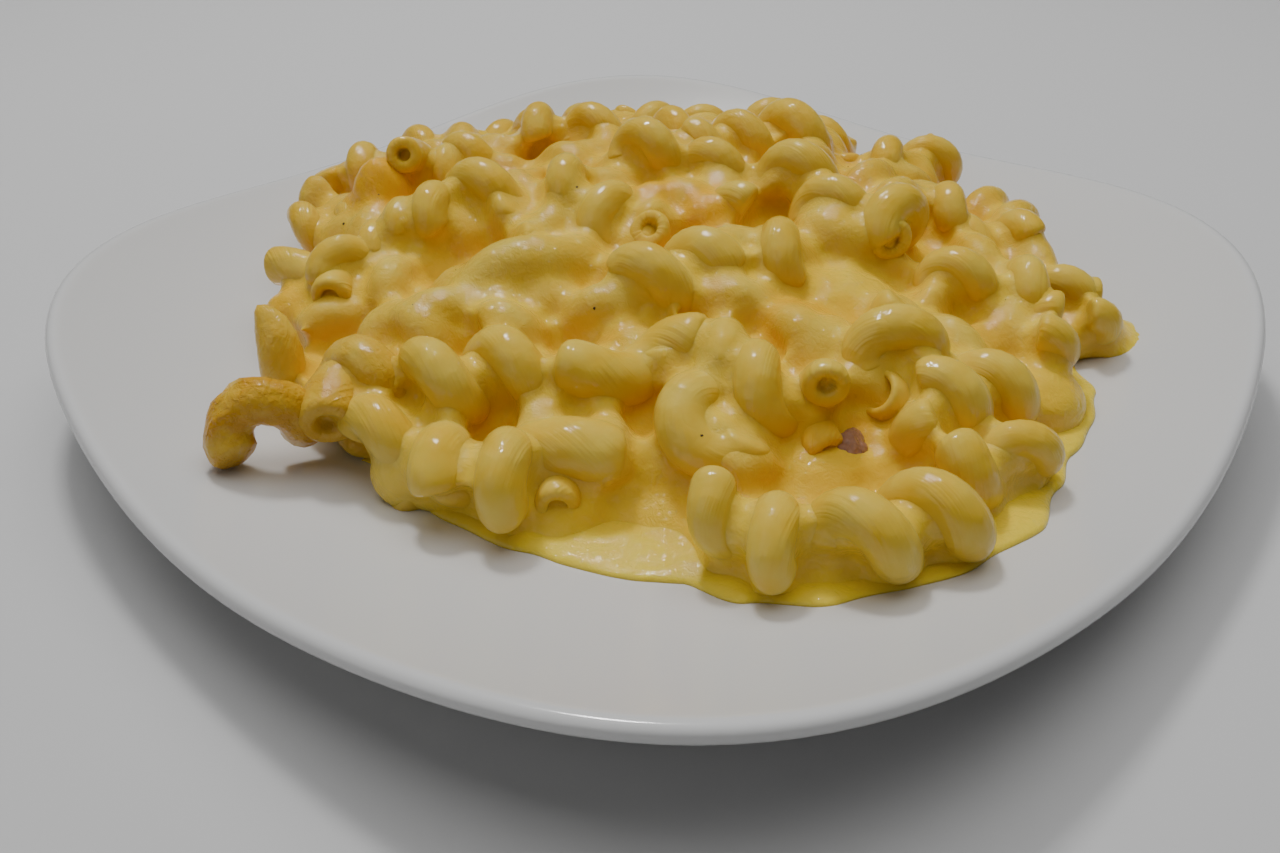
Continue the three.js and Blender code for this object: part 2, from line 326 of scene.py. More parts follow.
class Nodes:
    """Builds a material's node tree piece by piece."""

    def __init__(self, name: str) -> None:
        """Makes an empty node material with a Principled shader.

        Args:
            name: Name of the material.
        """
        self.material = bpy.data.materials.new(name)
        self.material.use_nodes = True
        self.tree = self.material.node_tree
        self.shader = self.tree.nodes["Principled BSDF"]
        self.object_point = self.add("ShaderNodeTexCoord").outputs["Object"]

    def add(self, kind: str, **settings: object) -> bpy.types.Node:
        """Adds a node.

        Args:
            kind: The node's type.
            **settings: Its properties, and its inputs' values by their names with underscores.

        Returns:
            The new node.
        """
        node = self.tree.nodes.new(kind)
        for key, value in settings.items():
            label = key.replace("_", " ").title()
            if label in node.inputs:
                node.inputs[label].default_value = value
            else:
                setattr(node, key, value)
        return node

    def link(self, source: Socket, target: Socket) -> None:
        """Links an output to an input."""
        self.tree.links.new(source, target)

    def noise(self, size_mm: float, detail: float = 3.0, distortion: float = 0.0) -> Socket:
        """Cloudy pattern with features of a real size.

        Args:
            size_mm: Size of a feature in millimetres.
            detail: Number of finer octaves.
            distortion: How much the pattern is wrung into wrinkles.

        Returns:
            The pattern's factor output.
        """
        scale = 1 / (size_mm * MM)
        pattern = self.add("ShaderNodeTexNoise", scale=scale, detail=detail, distortion=distortion)
        self.link(self.object_point, pattern.inputs["Vector"])
        return pattern.outputs["Fac"]

    def ramp(self, factor: Socket, low: float, high: float) -> Socket:
        """Stretches a factor so that low becomes 0 and high becomes 1.

        Args:
            factor: What is stretched.
            low: Its value that becomes 0.
            high: Its value that becomes 1.

        Returns:
            The stretched factor's output.
        """
        node = self.add("ShaderNodeMapRange")
        node.inputs["From Min"].default_value = low
        node.inputs["From Max"].default_value = high
        self.link(factor, node.inputs["Value"])
        return node.outputs["Result"]

    def mix(self, factor: Socket, first: object, second: object) -> Socket:
        """Mixes two colours.

        Args:
            factor: 0 for the first and 1 for the second.
            first: A colour or an output.
            second: A colour or an output.

        Returns:
            The mixed colour's output.
        """
        node = self.add("ShaderNodeMix", data_type="RGBA")
        self.link(factor, node.inputs["Factor"])
        for socket, value in ((node.inputs["A"], first), (node.inputs["B"], second)):
            if isinstance(value, tuple):
                socket.default_value = (*value, 1.0)
            else:
                self.link(value, socket)
        return node.outputs["Result"]

    def product(self, first: Socket, second: Socket) -> Socket:
        """Multiplies two factors.

        Args:
            first: A factor.
            second: Another factor.

        Returns:
            The product's output, from 0 to 1.
        """
        node = self.add("ShaderNodeMath", operation="MULTIPLY", use_clamp=True)
        self.link(first, node.inputs[0])
        self.link(second, node.inputs[1])
        return node.outputs["Value"]

    def bump(self, layers: list[tuple[Socket, float]], socket: str = "Normal") -> None:
        """Stacks bumps onto one of the shader's normals.

        Args:
            layers: Height patterns, each with its height in millimetres.
            socket: The normal that they go to.
        """
        below = None
        for height, millimetres in layers:
            node = self.add("ShaderNodeBump", distance=millimetres * MM)
            self.link(height, node.inputs["Height"])
            if below is not None:
                self.link(below, node.inputs["Normal"])
            below = node.outputs["Normal"]
        self.link(below, self.shader.inputs[socket])

    def attribute(self, name: str) -> Socket:
        """Number that the mesh carries on its vertices."""
        return self.add("ShaderNodeAttribute", attribute_name=name).outputs["Fac"]

    def toast(self) -> Socket:
        """Share of browning, broken up into patches."""
        return self.product(self.ramp(self.noise(5, 4), 0.20, 0.55), self.attribute("browning"))

    def colour(self, source: Socket) -> None:
        """Gives the shader its colour."""
        self.link(source, self.shader.inputs["Base Color"])

    def set(self, **values: object) -> None:
        """Sets the shader's own sockets, named with underscores."""
        for key, value in values.items():
            self.shader.inputs[key.replace("_", " ")].default_value = value


@dataclass(frozen=True)
class Porcelain:
    """White glazed porcelain."""

    colour: Colour = (0.67, 0.67, 0.665)
    shade: float = 0.97

    def material(self) -> bpy.types.Material:
        """Makes the glaze, very slightly uneven.

        Returns:
            The material.
        """
        nodes = Nodes("white_glaze")
        cloud = nodes.noise(45, 2)
        shade = tuple(self.shade * channel for channel in self.colour)
        nodes.colour(nodes.mix(cloud, self.colour, shade))
        nodes.set(Roughness=0.16, IOR=1.5, Coat_Weight=0.25, Coat_Roughness=0.06)
        nodes.bump([(nodes.noise(14, 1), 0.05), (nodes.noise(2.2, 1), 0.004)])
        return nodes.material


@dataclass(frozen=True)
class SaucedPasta:
    """Cooked pasta under a film of sauce."""

    pale: Colour = (0.77, 0.56, 0.078)
    golden: Colour = (0.75, 0.48, 0.035)
    # Painted shade: the dark amber given to the pasta and the sauce far down among the pasta.
    painted_shade_amber: Colour = (0.71, 0.35, 0.01)
    browned: Colour = (0.63, 0.31, 0.01)
    ridge_scale: tuple[float, float, float] = (1.5, 22, 1)
    ridge_height: float = 0.32

    def material(self) -> bpy.types.Material:
        """Makes pasta that is amber in patches where it is browned.

        Returns:
            The material.
        """
        nodes = Nodes("sauced_pasta")
        nodes.colour(nodes.mix(nodes.toast(), self.body(nodes), self.browned))
        nodes.set(**WAXY, Coat_Weight=0.6, Coat_Roughness=0.05)
        strand = nodes.add("ShaderNodeUVMap", uv_map="UVMap")
        mapping = nodes.add("ShaderNodeMapping")
        mapping.inputs["Scale"].default_value = self.ridge_scale
        nodes.link(strand.outputs["UV"], mapping.inputs["Vector"])
        lines = nodes.add("ShaderNodeTexNoise", scale=1.0, detail=2.0)
        nodes.link(mapping.outputs["Vector"], lines.inputs["Vector"])
        ridges = nodes.product(lines.outputs["Fac"], nodes.ramp(nodes.noise(6, 1), 0.4, 0.6))
        crumbs = nodes.product(nodes.noise(1.1, 4, 0.6), nodes.toast())
        ribs = (ridges, self.ridge_height)
        nodes.bump([(nodes.noise(3.2, 2), 0.12), ribs, (nodes.noise(0.6, 3), 0.03), (crumbs, 0.7)])
        nodes.bump([(nodes.noise(2.6, 3, 1.0), 0.2), ribs, (crumbs, 0.6)], "Coat Normal")
        return nodes.material

    def body(self, nodes: Nodes) -> Socket:
        """Colour of the pasta, cloudy from pale to golden, with painted shade of dark amber where
        it lies far down among the pasta.
        """
        cloudy = nodes.mix(nodes.ramp(nodes.noise(7, 3), 0.35, 0.7), self.pale, self.golden)
        return nodes.mix(nodes.attribute("hollow"), cloudy, self.painted_shade_amber)


@dataclass(frozen=True)
class CheeseSauce:
    """Smooth cheese sauce, thin over the pasta and thick between it."""

    cream: Colour = (0.83, 0.585, 0.05)
    amber: Colour = (0.8, 0.51, 0.028)
    cheddar: Colour = (0.82, 0.41, 0.008)
    pale: Colour = (0.89, 0.645, 0.055)
    pasta: SaucedPasta = SaucedPasta()
    # Painted shade: the hollow share at which the sauce would be fully darkened.
    painted_shade_reach: float = 3.2

    def material(self) -> bpy.types.Material:
        """Makes the sauce, wet and finely wrinkled where it is thick.

        Returns:
            The material.
        """
        nodes = Nodes("cheese_sauce")
        cloudy = nodes.mix(nodes.ramp(nodes.noise(9, 3), 0.45, 0.8), self.cream, self.amber)
        # Painted shade: the sauce turns towards dark amber far down among the pasta.
        painted_shade_share = nodes.ramp(nodes.attribute("hollow"), 0.0, self.painted_shade_reach)
        body = nodes.mix(painted_shade_share, cloudy, self.pasta.painted_shade_amber)
        over_pasta = nodes.mix(nodes.attribute("thick"), self.pasta.body(nodes), body)
        thin = nodes.mix(nodes.attribute("run_out"), over_pasta, self.pale)
        toasted = nodes.mix(nodes.toast(), thin, self.pasta.browned)
        nodes.colour(nodes.mix(nodes.attribute("cheddar"), toasted, self.cheddar))
        nodes.set(**WAXY, Coat_Weight=0.75, Coat_Roughness=0.025)
        nodes.bump([(nodes.noise(4.0, 3, 1.0), 0.25), (nodes.noise(1.3, 4, 1.5), 0.14)])
        ripples = [(nodes.noise(3.4, 2, 1.8), 0.6), (nodes.noise(1.1, 3, 1.5), 0.16)]
        nodes.bump(ripples, "Coat Normal")
        return nodes.material


@dataclass(frozen=True)
class FriedBit:
    """Dark, glossy fried scrap."""

    dark: Colour = (0.2, 0.085, 0.045)
    light: Colour = (0.42, 0.22, 0.13)

    def material(self) -> bpy.types.Material:
        """Makes a mottled brown with a greasy shine.

        Returns:
            The material.
        """
        nodes = Nodes("fried_bit")
        nodes.colour(nodes.mix(nodes.noise(1.5, 3), self.dark, self.light))
        nodes.set(Roughness=0.2, Coat_Weight=1.0, Coat_Roughness=0.05)
        nodes.bump([(nodes.noise(1.2, 3), 0.5)])
        nodes.bump([(nodes.noise(1.6, 1), 1.2)], "Coat Normal")
        return nodes.material


@dataclass(frozen=True)
class GroundPepper:
    """Black pepper flecks."""

    dark: Colour = (0.02, 0.012, 0.008)
    light: Colour = (0.09, 0.05, 0.03)

    def material(self) -> bpy.types.Material:
        """Makes a dull near-black that varies from fleck to fleck.

        Returns:
            The material.
        """
        nodes = Nodes("ground_pepper")
        nodes.colour(nodes.mix(nodes.noise(3, 1), self.dark, self.light))
        nodes.set(Roughness=0.55)
        nodes.bump([(nodes.noise(0.2, 2), 0.03)])
        return nodes.material


# ---- plate ----------------------------------------------------------------


@dataclass(frozen=True)
class Plate:
    """Rounded-square coupe plate whose corners rise above the middle of its sides."""

    half: float = 105.0
    squareness: float = 2.7
    ripple: float = 0.0056
    floor: float = 5.5
    rim: float = 20.1
    corner_lift: float = 3.4
    flat_share: float = 0.42
    lip_share: float = 0.977
    lip_radius: float = 1.6
    lip_drop: float = 1.85
    lip_angles: tuple[int, ...] = (120, 90, 60, 30, 0, -30, -60)
    inside: tuple[float, ...] = (0.25, 0.36, 0.44, 0.52, 0.6, 0.68, 0.76, 0.84, 0.9, 0.94, 0.96)
    outside: tuple[float, ...] = (0.97, 0.93, 0.86, 0.78, 0.7)
    curve: float = 2.35
    wall: float = 3.7
    foot_outer: float = 0.6
    foot_width: float = 0.05
    foot_recess: float = 1.8
    foot_edge: float = 0.006
    foot_bevel: float = 0.25
    foot_height: float = 1.2
    sides: int = 96

    def radius(self, angle: float) -> float:
        """Finds the distance from the middle to the edge at an angle.

        Args:
            angle: Angle about the plate's own axes, in radians.

        Returns:
            The distance.
        """
        cosine, sine = abs(math.cos(angle)), abs(math.sin(angle))
        squared = (cosine**self.squareness + sine**self.squareness) ** (-1 / self.squareness)
        return self.half * squared * (1 + self.ripple * math.cos(8 * angle))

    def sweep(self, share: float) -> float:
        """How far the side has risen, 0 on the floor and 1 at the lip."""
        along = (share - self.flat_share) / (self.lip_share - self.flat_share)
        return max(0.0, along) ** self.curve

    def top(self, x: float, y: float) -> float:
        """Finds the height of the upper surface under a point.

        Args:
            x: How far to the right the point is, in the serving frame.
            y: How far back it is.

        Returns:
            The height.
        """
        angle = math.atan2(y, x) + SERVING_TURN
        share = math.hypot(x, y) / self.radius(angle)
        rim = self.rim - self.corner_lift * math.cos(4 * angle)
        return self.floor + (rim - self.floor) * self.sweep(share)

    def profile(self) -> list[tuple[float, float]]:
        """Half-section as (share of the radius, height), from the floor over the lip to the foot.

        Returns:
            Its points, outwards over the top and back inwards under it.
        """
        rise = self.rim - self.floor
        top = [(share, self.floor + rise * self.sweep(share)) for share in self.inside]
        reach, middle = self.lip_radius / self.half, self.rim - self.lip_drop
        lip = [
            (self.lip_share + reach * math.cos(turn), middle + self.lip_radius * math.sin(turn))
            for turn in map(math.radians, self.lip_angles)
        ]
        outside = [*self.outside, self.foot_outer + 0.03]
        under = [(share, self.floor - self.wall + rise * self.sweep(share)) for share in outside]
        inner = self.foot_outer - self.foot_width
        foot = [
            (self.foot_outer + self.foot_edge, self.foot_height),
            (self.foot_outer, self.foot_bevel),
            (self.foot_outer - self.foot_edge, 0.0),
            (inner + self.foot_edge, 0.0),
            (inner, self.foot_bevel),
            (inner - 0.01, self.foot_recess - 0.3),
            (inner - 0.03, self.foot_recess),
            (0.3, self.foot_recess),
        ]
        return [*top, *lip, *under, *foot]

    def square_up(self, point: Vector) -> Vector:
        """Takes a point of the round blank to the squared plate.

        Args:
            point: The point of the blank.

        Returns:
            The point of the plate.
        """
        angle = math.atan2(point.y, point.x)
        share = math.hypot(point.x, point.y)
        radius = share * self.radius(angle)
        in_foot = point.z < self.foot_recess + 0.1
        lift = 0.0 if in_foot else -self.corner_lift * math.cos(4 * angle) * self.sweep(share)
        return Vector((radius * math.cos(angle), radius * math.sin(angle), point.z + lift))

    def build(self) -> Object:
        """Extrudes the half-section ring by ring, fills both middles and squares the blank.

        Returns:
            The plate.
        """
        rings = self.profile()
        share, height = rings[0]
        plate = start(
            "coupe_plate",
            bpy.ops.mesh.primitive_circle_add,
            vertices=self.sides,
            radius=share,
            location=(0, 0, height),
        )
        bpy.ops.object.transform_apply(location=True)
        with edit_mode(plate, "SELECT"):
            bpy.ops.mesh.fill_grid()
            bpy.ops.mesh.select_mode(type="EDGE")
            bpy.ops.mesh.select_all(action="SELECT")
            bpy.ops.mesh.region_to_loop()
            for next_share, next_height in rings[1:]:
                rise = (0, 0, next_height - height)
                bpy.ops.mesh.extrude_edges_move(TRANSFORM_OT_translate={"value": rise})
                scale, middle = next_share / share, (0, 0, next_height)
                bpy.ops.transform.resize(value=(scale, scale, 1), center_override=middle)
                share, height = next_share, next_height
            bpy.ops.mesh.fill_grid()
            bpy.ops.mesh.select_all(action="SELECT")
            bpy.ops.mesh.normals_make_consistent(inside=False)
        move_vertices(plate, self.square_up)
        apply_modifier(plate, "SUBSURF", levels=1, render_levels=1)
        return plate

    def dress(self) -> None:
        """Builds the plate, glazes it and puts it in place of the solid."""
        hand_over(self.build(), Porcelain().material(), "plate", turned=False)


# ---- heap -----------------------------------------------------------------


@dataclass(frozen=True)
class HeapForm:
    """Overall form of the heap: how far it spreads and how high it stands."""

    plate: Plate
    peak_x: float = 0.0
    peak_y: float = 18.0
    peak_height: float = 41.0
    edge_step: float = 15.5
    edge_sharpness: float = 40.0
    side_fullness: float = 2.4
    front_fullness: float = 1.4
    front_onset: float = 1.2
    overhang: float = 4.0
    # Painted shade: how strongly, and between which depths under the ceiling, the food is darkened
    # far down among the pasta.
    painted_shade_strength: float = 0.8
    painted_shade_depths: tuple[float, float] = (3.5, 14.0)
    golden_back: float = 0.22
    golden_back_reach: tuple[float, float] = (-20.0, 35.0)
    golden_left: float = 0.15
    golden_left_reach: tuple[float, float] = (-35.0, -70.0)
    outline: tuple[tuple[float, float], ...] = (
        (-173, 79), (-153, 80), (-133, 82), (-120, 78), (-108, 81), (-95, 83), (-85, 88),
        (-75, 94), (-62, 96), (-50, 90), (-38, 90), (-26, 84), (-13, 87), (5, 82), (25, 76),
        (50, 67), (75, 59), (100, 58), (125, 63), (150, 76), (168, 82),
    )

    def reach(self, angle: float) -> float:
        """Distance from the peak to the core's edge at an angle in radians."""
        return value_at(list(self.outline), math.degrees(angle))

    def ceiling(self, x: float, y: float) -> float:
        """Finds the height that the pasta reaches over a point.

        Args:
            x: How far to the right the point is, in the serving frame.
            y: How far back it is.

        Returns:
            The height.
        """
        angle = math.atan2(y - self.peak_y, x - self.peak_x)
        away = math.hypot(x - self.peak_x, y - self.peak_y)
        share = min(1.0, away / (self.reach(angle) + self.overhang))
        front = max(0.0, -math.sin(angle)) ** self.front_onset
        fullness = self.side_fullness + (self.front_fullness - self.side_fullness) * front
        base = self.plate.top(x, y)
        climb = self.peak_height - base - self.edge_step
        step = self.edge_step * (1 - share**self.edge_sharpness)
        return base + step + climb * (1 - share**fullness)

    def hollow(self, point: Vector) -> float:
        """How far below the heap's ceiling a point lies among the pasta, from 0 at the top to less
        than 1: the share of painted shade that darkens the food there.
        """
        depth = self.ceiling(point.x, point.y) - point.z
        return self.painted_shade_strength * smoothstep(*self.painted_shade_depths, depth)

    def golden(self, point: Vector) -> float:
        """How much deeper in colour the food is towards its far side and its left side."""
        back = self.golden_back * smoothstep(*self.golden_back_reach, point.y)
        return back + self.golden_left * smoothstep(*self.golden_left_reach, point.x)

    def out(self, angle: float, radius: float) -> tuple[float, float]:
        """Point at an angle and a distance from the peak."""
        return self.peak_x + radius * math.cos(angle), self.peak_y + radius * math.sin(angle)

    def at(self, angle: float, share: float, margin: float = 0.0) -> tuple[float, float]:
        """Point at an angle and a share of the way to the core's edge."""
        return self.out(angle, share * (self.reach(angle) + margin))


class Coat(Enum):
    """How far the sauce's skin lies over a twist's surface, in millimetres."""

    BARE = 0.0
    CLEAN = -0.45
    FILMED = -0.2
    COATED = 0.25


# A ring of a tube: how far along it lies, and its share of the tube's radius.
Ring = tuple[float, float]


class Cut(Enum):
    """How a tube ends, as rings measured from the end."""

    BLUNT = (
        (1.9, 1.0), (1.1, 0.975), (0.5, 0.91), (0.15, 0.8), (0.0, 0.62), (-0.12, 0.3), (-0.15, 0.0),
    )
    STOPPED = (
        (2.2, 1.0), (1.0, 0.98), (0.3, 0.9), (0.0, 0.76), (0.0, 0.54), (0.25, 0.42), (1.0, 0.36),
        (1.6, 0.28), (1.8, 0.0),
    )
    HOLED = (
        (2.2, 1.0), (1.0, 0.98), (0.35, 0.9), (0.0, 0.76), (0.0, 0.52), (0.3, 0.4), (1.2, 0.34),
        (6.0, 0.3), (6.0, 0.0),
    )
    OPEN = (
        (2.2, 1.0), (0.8, 0.98), (0.2, 0.92), (0.0, 0.84), (0.0, 0.72), (0.3, 0.64), (1.4, 0.6),
        (7.0, 0.58), (7.0, 0.0),
    )
    TAPERED = ((9.0, 1.0), (6.5, 0.93), (4.0, 0.76), (2.0, 0.52), (0.7, 0.3), (0.0, 0.0))

    @property
    def hollow(self) -> bool:
        """Whether the tube's bore shows at this end."""
        return self in (Cut.STOPPED, Cut.HOLED, Cut.OPEN)


@dataclass(frozen=True)
class Twist:
    """One corkscrew of pasta, in millimetres and degrees of the serving frame.

    Attributes:
        x, y, z: Middle of its axis.
        heading: Way that its axis points, seen from above.
        lean: How far its axis rises.
        roll: Turn round its axis.
        turns: Number of turns of the coil.
        size: Scale of the whole.
        coat: How thickly the sauce lies on it.
        browning: How browned it is, from 0 to 1.
        cuts: How its two ends are cut.
        coil: Radius of the coil.
        tube: Radius of the tube.
        pitch: Rise of the coil in one turn.
    """

    x: float
    y: float
    z: float
    heading: float
    lean: float
    roll: float
    turns: float
    size: float
    coat: Coat = Coat.CLEAN
    browning: float = 0.0
    cuts: tuple[Cut, Cut] = (Cut.BLUNT, Cut.BLUNT)
    coil: float = 4.15
    tube: float = 3.95
    pitch: float = 12.4
    roll_wander: ClassVar[float] = 0.12
    coil_wander: ClassVar[float] = 0.06
    tube_wander: ClassVar[float] = 0.04
    crumpled_from: ClassVar[float] = 0.4

    @property
    def place(self) -> Vector:
        """Middle of the corkscrew's axis."""
        return Vector((self.x, self.y, self.z))

    def axes(self) -> tuple[Vector, Vector, Vector]:
        """Works out the corkscrew's axis and the two directions across it.

        Returns:
            Three unit vectors: along the axis, upwards across it and sideways across it.
        """
        heading, lean = math.radians(self.heading), math.radians(self.lean)
        level = math.cos(lean)
        axis = Vector((level * math.cos(heading), level * math.sin(heading), math.sin(lean)))
        up = (Vector((0, 0, 1)) - axis * axis.z).normalized()
        return axis, up, axis.cross(up)

    def length(self) -> float:
        """Length along the tube."""
        return self.turns * self.size * math.hypot(self.pitch, TAU * self.coil)

    def bend(self, along: float, around: float, share: float, swell: float) -> Vector:
        """Place on the coiled tube.

        Args:
            along: Distance along the tube from its start.
            around: Turn round the tube, from -0.5 to 0.5.
            share: Share of the tube's radius.
            swell: How much that radius grows.

        Returns:
            The point.
        """
        axis, up, side = self.axes()
        turned = (along / self.length() - 0.5) * self.turns
        wander = Vector((turned * 1.7, self.x * 0.31, self.y * 0.27))
        phase = TAU * turned + math.radians(self.roll) + self.roll_wander * noise.noise(wander)
        widened = 1 + self.coil_wander * noise.noise(wander * 1.3 + Vector((9, 0, 0)))
        outward = up * math.cos(phase) + side * math.sin(phase)
        onward = side * math.cos(phase) - up * math.sin(phase)
        tangent = (axis * self.pitch + onward * TAU * self.coil).normalized()
        across = tangent.cross(outward)
        centre = self.place + axis * (self.pitch * self.size * turned)
        centre += outward * (self.coil * self.size * widened)
        angle = -TAU * around
        outer, sideways = math.cos(angle), math.sin(angle)
        radius = (self.tube * self.size + swell) * share
        uneven = noise.noise(wander * 2.1 + Vector((0, 5 + outer, sideways)))
        radius *= 1 + self.tube_wander * uneven
        if self.browning > self.crumpled_from:
            grain = Vector((along * 0.55, 2.2 * outer, 2.2 * sideways))
            crumple = 0.6 * noise.noise(grain) + 0.12 * noise.noise(grain * 1.9)
            radius += self.browning * share * crumple * (0.6 + 0.4 * outer)
        return centre + outward * (radius * outer) + across * (radius * sideways)


@dataclass(frozen=True)
class TwistMaker:
    """Rolls flat sheets into coiled tubes."""

    sides: int = 26
    ring_step: float = 1.15
    core_sides: int = 14
    core_ring_step: float = 2.2
    set_back: float = 2.6
    browned_gap: float = 0.8
    filling_share: float = 0.5
    weld: float = 0.01

    def rings(self, twist: Twist, step: float, trims: tuple[float, float]) -> list[Ring]:
        """Sets out the rings of a tube from one end to the other.

        Args:
            twist: What is made.
            step: Distance from ring to ring between the ends.
            trims: How much shorter each end is.

        Returns:
            The rings.
        """
        length = twist.length()
        start_cut, end_cut = [cut.value for cut in twist.cuts]
        near = [(trims[0] + away * twist.size, share) for away, share in reversed(start_cut)]
        far = [(length - trims[1] - away * twist.size, share) for away, share in end_cut]
        first, last = near[-1][0], far[0][0]
        count = max(2, round((last - first) / step))
        middle = [(first + (last - first) * i / count, 1.0) for i in range(1, count)]
        return [*near, *middle, *far]

    def rolled(
        self, twist: Twist, name: str, sides: int, rings: list[Ring], swell: float
    ) -> Object:
        """Rolls one sheet.

        Args:
            twist: What is made.
            name: Name of the object.
            sides: Faces round the tube.
            rings: Rings along it.
            swell: How much the tube's radius grows.

        Returns:
            The tube, closed at both ends where its last rings shrink to nothing.
        """
        sheet = start(
            name,
            bpy.ops.mesh.primitive_grid_add,
            x_subdivisions=len(rings) - 1,
            y_subdivisions=sides,
            size=1,
            calc_uvs=True,
        )

        def place(point: Vector) -> Vector:
            """Rolls a point of the sheet up."""
            along, share = rings[round((point.x + 0.5) * (len(rings) - 1))]
            return twist.bend(along, point.y, share, swell)

        move_vertices(sheet, place)
        with edit_mode(sheet, "SELECT"):
            bpy.ops.mesh.remove_doubles(threshold=self.weld)
        return sheet

    def tube(self, twist: Twist, name: str) -> Object:
        """Makes a whole twist as it is seen.

        Args:
            twist: What is made.
            name: Name of the object.

        Returns:
            The finished twist, in millimetres.
        """
        rings = self.rings(twist, self.ring_step, (0.0, 0.0))
        return self.rolled(twist, name, self.sides, rings, 0.0)

    def solid(self, twist: Twist, name: str) -> Object:
        """Makes a plain closed tube for the sauce to lie round, shorter where an end is open.

        Args:
            twist: What is made.
            name: Name of the object.

        Returns:
            The closed tube, in millimetres.
        """
        trims = tuple(self.set_back if cut.hollow else 0.0 for cut in twist.cuts)
        plain = replace(twist, cuts=tuple(Cut.BLUNT if cut.hollow else cut for cut in twist.cuts))
        rings = self.rings(plain, self.core_ring_step, trims)
        swell = twist.coat.value - self.browned_gap * twist.browning
        return self.rolled(plain, name, self.core_sides, rings, swell)

    def filling(self, twist: Twist, name: str) -> Object:
        """Makes the sauce that a twist holds between its turns.

        Args:
            twist: What holds it.
            name: Name of the object.

        Returns:
            A ball stretched along the twist's axis, in millimetres.
        """
        axis, up, side = twist.axes()
        half = 0.5 * twist.turns * twist.size * twist.pitch
        thick = self.filling_share * twist.coil * twist.size

        def place(point: Vector) -> Vector:
            """Stretches a point of the ball."""
            middle = twist.place + axis * (half * point.x)
            return middle + side * (thick * point.y) + up * (thick * point.z)

        return shaped_ball(name, 2, place)


CLEAN, FILMED, COATED = Coat.CLEAN, Coat.FILMED, Coat.COATED
BLUNT, STOPPED, HOLED, OPEN, TAPERED = Cut.BLUNT, Cut.STOPPED, Cut.HOLED, Cut.OPEN, Cut.TAPERED

# A twist that is nearly straight, as one looks whose end is seen.
Tube = partial(Twist, coil=1.0, pitch=22)

FRONT_ROW = [
    Twist(-63.5, -50.5, 17.7, -105, 0, -1, 0.82, 0.97, CLEAN, 1.0, coil=4.4, pitch=14),
    Twist(-42, -50.5, 15, 20, 0, 90, 1.0, 1.0, FILMED, 0.1),
    Twist(-36, -57.5, 13.5, 150, 0, 75, 0.8, 1.1, FILMED),
    Twist(-25.5, -61, 16, 150, 10, 60, 1, 1),
    Tube(-15, -59.5, 11, -84, 12, 0, 0.5, 0.92, COATED, 0.0, (BLUNT, HOLED)),
    Twist(13, -74, 17, 140, 8, 120, 1.4, 0.85, FILMED),
    Twist(34, -75, 18, 22, 0, 200, 1.9, 0.95),
    Twist(49, -59, 17, 0, 0, 150, 0.8, 1, CLEAN, 0.0, (BLUNT, HOLED)),
    Twist(56, -56, 16, 60, 0, 0, 1, 0.8, FILMED),
    Twist(43, -57, 15.5, 70, 35, 180, 0.9, 1, FILMED),
]

SECOND_ROW = [
    Tube(-68, -29, 18.5, 150, 72, 0, 0.75, 1.0, FILMED, 0.35, (BLUNT, TAPERED)),
    Twist(-47, -40, 19.5, 30, 0, 60, 1.2, 1, FILMED, 0.5),
    Tube(-52.5, -43, 18.2, -84, 2, 0, 0.6, 1.3, FILMED, 0.55, (BLUNT, STOPPED)),
    Twist(-29, -42, 21.5, 18, 0, 240, 1.6, 1),
    Twist(-14, -56, 15, 12, 5, 0, 0.52, 1.3, coil=1.6, pitch=22),
    Twist(-4, -40, 22.5, 14, 3, 180, 1.0, 1.2, coil=2.0, pitch=20),
    Twist(8, -53, 19.5, 300, 30, 87, 0.8, 1.1),
    Twist(7, -38, 22, 150, 0, 120, 1, 1, COATED),
    Twist(19, -48, 21.8, 150, 0, 235, 1.3, 0.97, CLEAN, 0.0, (STOPPED, STOPPED)),
    Twist(40, -37, 25, 60, 0, 75, 1.3, 1),
    Twist(51, -44, 19, 32, -12, 240, 1.6, 0.95),
    Tube(25, -50, 15, -62, 5, 0, 0.5, 0.92, COATED, 0.0, (BLUNT, HOLED)),
    Tube(38, -46, 17.5, 205, 50, 0, 0.42, 1.05, CLEAN, 0.0, (BLUNT, OPEN)),
]

MIDDLE = [
    Tube(-71, -4, 20.5, 170, 5, 0, 0.5, 1.0, FILMED, 0.15, (BLUNT, HOLED)),
    Twist(-60.5, -7, 23, -80, 10, 326, 0.8, 0.85, FILMED, 0.1),
    Twist(-61, -13, 21.5, -85, 6, 0, 0.35, 0.95, FILMED, 0.1, (BLUNT, STOPPED), coil=0.5, pitch=22),
    Twist(-25, -16, 26.5, 35, 10, 0, 0.95, 1.25, COATED, coil=1.8, pitch=22),
    Twist(3, -20, 28, 30, 0, 180, 1.4, 1, FILMED),
    Twist(20, -13, 29, 150, 0, 60, 1.1, 0.9, FILMED, 0.1),
    Twist(56, -13, 24, 30, 0, 60, 1.1, 0.85, FILMED),
    Twist(66, -13, 22, 150, 0, 60, 0.9, 0.85, FILMED),
    Twist(69, -25, 19, 50, 0, 180, 1, 0.85, FILMED),
    Twist(78, -8, 18, 30, 0, 30, 1, 0.8, FILMED),
    Twist(81, -14, 17, 60, 0, 180, 1, 0.75, FILMED),
]

